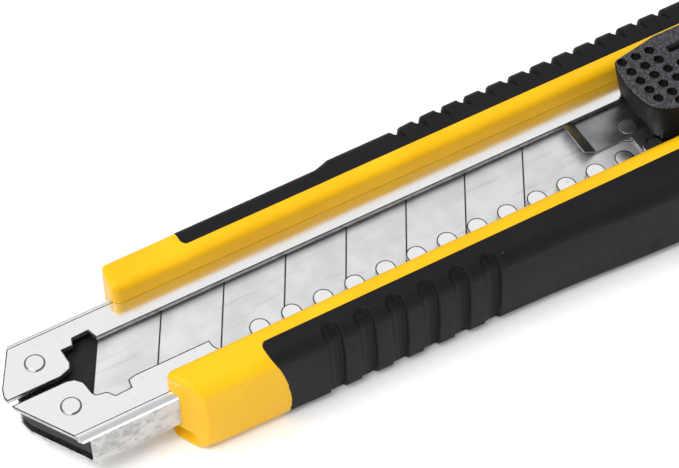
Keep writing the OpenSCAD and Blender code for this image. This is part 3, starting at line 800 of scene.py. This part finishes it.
def grip_piece(name, side, stations, depth_of):
    outer_rows, inner_rows = [], []
    base = grip_front(side, 13, TOP)
    for back in stations:
        x = base - back
        section = side_section(side, x, 2)[SEAM_POINT:BELLY_POINT + 1]
        y, z, ny, nz = section.T
        run = np.concatenate([[0], np.cumsum(np.hypot(np.diff(y), np.diff(z)))])
        fade = 1 - step_up(0, 9, back)
        front = np.array([grip_front(side, *p) for p in zip(y, z)])
        xs = x + (front - base) * fade
        outer = y.max()
        edge = np.minimum(np.minimum(run, run[-1] - run), np.minimum(back, xs - SHELL_END))
        curl = np.clip(CURL - edge, 0, CURL)
        level = PROUD - (CURL - np.sqrt(CURL**2 - curl**2)) - (edge < 1e-6) * 0.1
        groove_run = run - (outer - SIDES[side]["r_top"] - SEAM) + 0.15
        level = level - depth_of(xs, y, z, outer if side < 0 else groove_run)
        outer_rows.append(np.column_stack(
            [xs, side * (y + ny * level), np.maximum(z + nz * level, BELLY)]
        ))
        inner_rows.append(
            np.column_stack([xs, side * (y - ny * GRIP_DEPTH), z - nz * GRIP_DEPTH])
        )
    rows, columns = len(stations), len(outer_rows[0])
    points = np.vstack(outer_rows + inner_rows)
    half = rows * columns
    faces = grid_faces(rows, columns, wrap=False)
    faces += [tuple(half + k for k in reversed(f)) for f in grid_faces(rows, columns, wrap=False)]
    rim = [j for j in range(columns)] + [i * columns + columns - 1 for i in range(1, rows)]
    rim += [(rows - 1) * columns + j for j in range(columns - 2, -1, -1)]
    rim += [i * columns for i in range(rows - 2, 0, -1)]
    faces += [(a, b, half + b, half + a) for a, b in zip(rim, rim[1:] + rim[:1])]
    piece = new_piece(name, points, faces)
    soften(piece, 110)
    return piece


back_length = -SHELL_END - 31.9
hand_over(grip_piece("back_grip_fine", -1, grip_stations(back_length, 35, 87, 0.13), ridge_depth),
          "grip_rubber", "handle", "back_grip")
finger_length = grip_front(1, 13, TOP) - SHELL_END
hand_over(grip_piece("finger_grip_fine", 1, grip_stations(finger_length, 6.5, 38, 0.11),
                     groove_depth), "grip_rubber", "handle", "finger_grip")


# %% [markdown]
# The thumb pad is a cushion-shaped block of hard plastic with rows of small dimples and two slots. Its
# top is drawn as rings that shrink towards the middle, close enough together to hold the dimples, and
# its walls lean in as they go down. It is hollow underneath, over the carriage.

# %% Block cutter
def block_cutter(x0, x1, y0, y1, z0, z1):
    return rounded_plate("cutter", x0, x1, y0, y1, z0, z1, 0.05)


# %% [markdown]
# The pad's outline is given as a distance: below zero is inside. A search along each direction finds
# where it crosses zero, and the rings are drawn from that.

# %% Thumb pad
PAD_TOP = pad_high.z / MM - shift[2]
PAD_FRONT, PAD_REAR = pad_high.x / MM - shift[0], pad_low.x / MM - shift[0]
pad_mid = (PAD_FRONT + PAD_REAR) / 2
pad_half = (PAD_FRONT - PAD_REAR) / 2 - 0.4
BOW, NEAR_SIDE = 13.6, 6.52


def rounded_corner(a, b, r):
    """The larger of two distances, with the corner between their edges rounded."""
    return min(max(a, b), -r) + math.hypot(max(a + r, 0), max(b + r, 0))


def inside_pad(x, y):
    """Below 0 inside the pad's outline, in mm, with x from the pad's middle."""
    ends = math.hypot(abs(x) + BOW - pad_half, y + 0.3) - BOW
    far_side = min(5.95 + 0.17 * (pad_half - 2.9 - abs(x)), 6.95)
    return max(rounded_corner(ends, y - NEAR_SIDE, 3.1), rounded_corner(ends, -y - far_side, 0.35))


def pad_radius(angle):
    low, high = 0.0, pad_half * 1.5
    for _ in range(40):
        mid = (low + high) / 2
        if inside_pad(mid * math.cos(angle), mid * math.sin(angle)) < 0:
            low = mid
        else:
            high = mid
    return low


rows_y = (-4.74, -2.55, -0.45, 1.6, 3.52, 5.4)
dimples = [(-102.35 - 0.2 * row - 2.42 * k, y) for row, y in enumerate(rows_y) for k in range(9)]
dimples = [d for d in dimples if inside_pad(d[0] - pad_mid, d[1]) < -0.72
           and not (abs(abs(d[1]) - 3.45) < 1.35 and -119.2 < d[0] < -108.6)]
dimple_x, dimple_y = np.array(dimples).T
angles = np.radians(np.arange(0, 360, 0.75))
outline = np.array([pad_radius(a) for a in angles])
shares = 1 - (1 - np.linspace(0.02, 1, 110)) ** 1.1
pad_rings = []
for share in shares:
    px, py = share * outline * np.cos(angles), share * outline * np.sin(angles)
    from_edge = np.array([-inside_pad(a, b) for a, b in zip(px, py)])
    fall = 0.45 - np.sqrt(np.clip(0.45**2 - np.clip(0.45 - from_edge, 0, 0.45) ** 2, 0, None))
    near = np.hypot(px[:, None] + pad_mid - dimple_x, py[:, None] - dimple_y).min(1)
    hollow = 0.6 * (1 - step_up(0.5, 0.82, near)) - 0.15 * (1 - step_up(0, 0.3, near))
    pad_rings.append(np.column_stack([px + pad_mid, py, PAD_TOP - fall - hollow]))
for drop in (0.3, 1, 2, 3.5, 5, 6.5, 7.6, 8.1 - 0.05):
    lean_x, lean_y = 1 - 0.17 * (drop / 8.1) ** 1.2, 1 - 0.05 * drop / 8.1
    pad_rings.append(np.column_stack([
        outline * np.cos(angles) * lean_x + pad_mid, outline * np.sin(angles) * lean_y,
        np.full(len(angles), PAD_TOP - 0.45 - (drop - 0.3)),
    ]))
columns = len(angles)
pad_faces = grid_faces(len(pad_rings), columns)
pad_faces += [tuple(range(columns)), tuple((len(pad_rings) - 1) * columns + k for k in range(columns))]
pad = new_piece("thumb_pad_fine", np.vstack(pad_rings), pad_faces)
to_rail = lambda corner: np.array(corner) / MM - shift
c_low, c_high = to_rail(carriage_low), to_rail(carriage_high)
cutters = [block_cutter(c_low[0] - 0.05, c_high[0] + 0.05, -5.25, 5.25, -1, c_high[2] + 0.05),
           block_cutter(c_high[0] - 1, PAD_FRONT + 1, -4.1, 3.4, -1, 2.6)]
cutters += [block_cutter(PAD_FRONT - 18.3, PAD_FRONT - 9.4, y - 0.65, y + 0.65, PAD_TOP - 1, PAD_TOP + 1)
            for y in (-3.45, 3.45)]
carve(pad, cutters)
soften(pad, 40)
# Faces below the top wear the pad's darker copy, which is painted shade on the walls.
for face in pad.data.polygons:
    x, y, z = np.array(face.center) / MM - shift
    # Dimple and slot faces wear the near-black painted shade.
    in_dimple = np.hypot(dimple_x - x, dimple_y - y).min() < 0.84 and z < PAD_TOP - 0.1
    in_slot = abs(abs(y) - 3.45) < 0.7 and -1.1 < z - PAD_TOP < -0.06 and abs(x - pad_mid) < 7
    face.material_index = 2 if in_dimple or in_slot else (1 if z < PAD_TOP - 0.3 else 0)
hand_over(pad, "pad_plastic", "slider", "thumb_pad", second=("pad_side_shade", "pad_hollow_shade"))
print("dimples:", len(dimples))


# %% [markdown]
# The room is a plain pale floor under three big soft lights. A metal surface is only as good as what it
# reflects, so the lights are large: they fill the rail with even white.

# %% Floor and light
FLOOR_GAP = 0.0001  # keeps the floor clear of the belly, which lies at height 0
floor_mesh = bpy.data.meshes.new("floor")
floor_corners = [(x, y, -FLOOR_GAP) for x, y in ((-4, -4), (4, -4), (4, 4), (-4, 4))]
floor_mesh.from_pydata(floor_corners, [], [(0, 1, 2, 3)])
floor = bpy.data.objects.new("floor", floor_mesh)
bpy.context.scene.collection.objects.link(floor)
pale = Finish("floor_pale", Roughness=0.9)
pale.shader.inputs["Base Color"].default_value = (0.96, 0.96, 0.96, 1)
floor.data.materials.append(pale.material)


def soft_light(name, place, aim, size, power):
    data = bpy.data.lights.new(name, "AREA")
    data.shape, data.size, data.energy = "DISK", size, power
    light = bpy.data.objects.new(name, data)
    light.location = place
    light.rotation_euler = (Vector(aim) - Vector(place)).to_track_quat("-Z", "Y").to_euler()
    bpy.context.scene.collection.objects.link(light)


soft_light("over", (-0.39, -0.68, 1.05), (0, 0, 0), 1.5, 1.7)
soft_light("key", (0.5, 0.0, 1.1), (0, 0, 0), 0.9, 12)
soft_light("fill", (0.7, 0.7, 0.4), (0, 0, 0), 0.6, 1.6)
world = bpy.data.worlds.new("room")
world.use_nodes = True
world.node_tree.nodes["Background"].inputs["Color"].default_value = (1, 1, 1, 1)
world.node_tree.nodes["Background"].inputs["Strength"].default_value = 0.6
bpy.context.scene.world = world
bpy.context.scene.view_settings.view_transform = "Standard"

# %% [markdown]
# The camera looks down at the nose from in front, at a long focal length, so the knife runs away to the
# upper right with little perspective.

# %% Camera
camera_data = bpy.data.cameras.new("camera")
camera_data.lens, camera_data.sensor_width = 125.905, 36
camera = bpy.data.objects.new("camera", camera_data)
right = Vector((-0.868966, 0.494871, 0.000738))
up = Vector((-0.395186, -0.694821, 0.600876))
back = Vector((0.297869, 0.521849, 0.799342))
turned = Matrix((right, up, back)).transposed().to_4x4()
turned.translation = Vector((0.13087, 0.17352, 0.28403))
camera.matrix_world = turned
bpy.context.scene.collection.objects.link(camera)
bpy.context.scene.camera = camera
